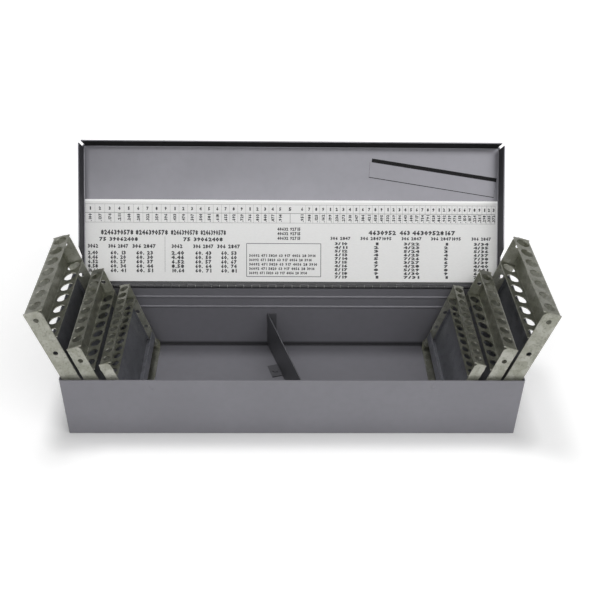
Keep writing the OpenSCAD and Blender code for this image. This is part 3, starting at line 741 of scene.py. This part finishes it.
class DRILLINDEX_OT_set_studio(bpy.types.Operator):
    """Set the pale floor, the soft light and the camera"""

    bl_idname = "drillindex.set_studio"
    bl_label = "Set Studio"

    def execute(self, context):
        studio = settings("studio")
        scene = context.scene
        scene.view_settings.view_transform = "Standard"
        self.lay_floor(studio)
        self.light(scene, studio)
        self.aim_camera(scene, studio)
        return {"FINISHED"}

    def lay_floor(self, studio):
        """A flat square floor.

        Camera and mirror rays see it brighter with its distance from the tray, so that it reads
        as white far off and darker by the case: a painted shadow on top of its real shadow.
        """
        corners = FLOOR_HALF * np.array([(-1, -1, 0), (1, -1, 0), (1, 1, 0), (-1, 1, 0)])
        mesh = bpy.data.meshes.new("studio_floor")
        mesh.from_pydata(corners.tolist(), [], [(0, 1, 2, 3)])
        floor = bpy.data.objects.new("studio_floor", mesh)
        bpy.context.scene.collection.objects.link(floor)
        tree = Tree("pale_floor")
        tree.finish(Base_Color=rgba(studio.floor), Roughness=0.9)
        path = tree.add("ShaderNodeLightPath")
        seen = path.outputs["Is Camera Ray"]
        for ray in ("Is Glossy Ray", "Is Transmission Ray"):
            seen = tree.number("MAXIMUM", seen, path.outputs[ray])
        glow = tree.add("ShaderNodeEmission", {"Color": (1, 1, 1, 1)})
        low, high = (np.array(corner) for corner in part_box("tray"))
        spread = tree.vector(
            "ABSOLUTE", tree.vector("SUBTRACT", tree.place, tuple((low + high) / 2)))
        beyond = tree.vector("SUBTRACT", spread, tuple((high - low) / 2))
        away = tree.vector("LENGTH", tree.vector("MAXIMUM", beyond, (0.0, 0.0, 0.0)))
        # By the tray the glow drops to its lowest: a painted shadow.
        near = tree.span(away, studio.painted_contact_shadow, studio.glow, 0.0, GLOW_NEAR)
        far = tree.span(away, 0.0, studio.far_glow - studio.glow, GLOW_NEAR, GLOW_FAR)
        level = tree.number("ADD", near, far)
        tree.give(glow.inputs["Strength"], tree.number("MULTIPLY", seen, level))
        both = tree.add("ShaderNodeAddShader", {0: tree.bsdf.outputs[0], 1: glow.outputs[0]})
        tree.give(tree.nodes["Material Output"].inputs["Surface"], both.outputs[0])
        mesh.materials.append(tree.material)

    def light(self, scene, studio):
        """A wide lamp behind the camera, a lamp above at the back, pale walls and a dim ceiling."""
        lamps = (
            ("key_lamp", KEY_SPOT, KEY_SIZE, studio.key),
            ("top_lamp", TOP_SPOT, TOP_SIZE, studio.top),
        )
        for name, spot, size, power in lamps:
            lamp = bpy.data.lights.new(name, "AREA")
            lamp.shape = "RECTANGLE"
            lamp.size, lamp.size_y = size
            lamp.energy = power
            holder = bpy.data.objects.new(name, lamp)
            holder.matrix_world = look_at(spot, LAMP_TARGET)
            holder.visible_camera = False
            scene.collection.objects.link(holder)
        world = bpy.data.worlds.new("studio_room")
        world.use_nodes = True
        nodes, links = world.node_tree.nodes, world.node_tree.links
        ray = nodes.new("ShaderNodeTexCoord")
        rise = nodes.new("ShaderNodeSeparateXYZ")
        links.new(ray.outputs["Generated"], rise.inputs[0])
        level = nodes.new("ShaderNodeMapRange")
        level.interpolation_type = "SMOOTHSTEP"
        for key, value in (("From Min", WALL_RISE), ("From Max", CEILING_RISE),
                           ("To Min", studio.wall), ("To Max", studio.ceiling)):
            level.inputs[key].default_value = value
        links.new(rise.outputs["Z"], level.inputs["Value"])
        sky = nodes["Background"]
        sky.inputs["Color"].default_value = (1, 1, 1, 1)
        links.new(level.outputs["Result"], sky.inputs["Strength"])
        scene.world = world

    def aim_camera(self, scene, studio):
        """Camera at the photographed angle, given by its downward pitch, its yaw and its roll."""
        pitch, yaw, roll = np.radians((CAMERA_PITCH, CAMERA_YAW, CAMERA_ROLL))
        flat = math.cos(pitch)
        ahead = np.array([math.sin(yaw) * flat, math.cos(yaw) * flat, -math.sin(pitch)])
        level = np.array([math.cos(yaw), -math.sin(yaw), 0.0])
        above = np.cross(level, ahead)
        right = math.cos(roll) * level + math.sin(roll) * above
        up = -math.sin(roll) * level + math.cos(roll) * above
        matrix = np.eye(4)
        matrix[:3, :3] = np.column_stack([right, up, -ahead])
        matrix[:3, 3] = CAMERA_SPOT
        camera = bpy.data.cameras.new("photo_camera")
        camera.sensor_width = SENSOR_WIDTH
        camera.lens = studio.lens
        camera.shift_y = studio.shift
        holder = bpy.data.objects.new("photo_camera", camera)
        holder.matrix_world = Matrix(matrix.tolist())
        scene.collection.objects.link(holder)
        scene.camera = holder


def look_at(spot, target):
    """Matrix of a lamp at a spot that shines along its -Z at a target."""
    spot, target = np.array(spot, float), np.array(target, float)
    back = (spot - target) / np.linalg.norm(spot - target)
    side = np.cross((0.0, 0.0, 1.0), back)
    side /= np.linalg.norm(side)
    matrix = np.eye(4)
    matrix[:3, :3] = np.column_stack([side, np.cross(back, side), back])
    matrix[:3, 3] = spot
    return Matrix(matrix.tolist())


JOBS = (
    DRILLINDEX_OT_paint_case,
    DRILLINDEX_OT_galvanise_racks,
    DRILLINDEX_OT_finish_rivets,
    DRILLINDEX_OT_print_chart,
    DRILLINDEX_OT_mark_lid,
    DRILLINDEX_OT_set_studio,
)
GROUPS = {"case": CaseFinish, "racks": RackFinish, "chart": ChartPrint, "studio": Studio}


class DRILLINDEX_PT_jobs(bpy.types.Panel):
    """Jobs and settings of the drill index case"""

    bl_label = "Drill Index Case"
    bl_space_type = "VIEW_3D"
    bl_region_type = "UI"
    bl_category = "Drill Index"

    def draw(self, context):
        for job in JOBS:
            self.layout.operator(job.bl_idname)
        for name, group in GROUPS.items():
            box = self.layout.box()
            for key in group.__annotations__:
                box.prop(settings(name), key)


def register():
    """Registers the settings, the jobs and the panel."""
    for name, group in GROUPS.items():
        bpy.utils.register_class(group)
        setattr(bpy.types.Scene, "drill_index_" + name, bpy.props.PointerProperty(type=group))
    for job in JOBS:
        bpy.utils.register_class(job)
    bpy.utils.register_class(DRILLINDEX_PT_jobs)


def unregister():
    """Takes the panel, the jobs and the settings out again."""
    bpy.utils.unregister_class(DRILLINDEX_PT_jobs)
    for job in reversed(JOBS):
        bpy.utils.unregister_class(job)
    for name, group in GROUPS.items():
        delattr(bpy.types.Scene, "drill_index_" + name)
        bpy.utils.unregister_class(group)


def main():
    """Runs every job in order."""
    register()
    bpy.ops.drillindex.paint_case()
    bpy.ops.drillindex.galvanise_racks()
    bpy.ops.drillindex.finish_rivets()
    bpy.ops.drillindex.print_chart()
    bpy.ops.drillindex.mark_lid()
    bpy.ops.drillindex.set_studio()


if __name__ == "__main__":
    main()
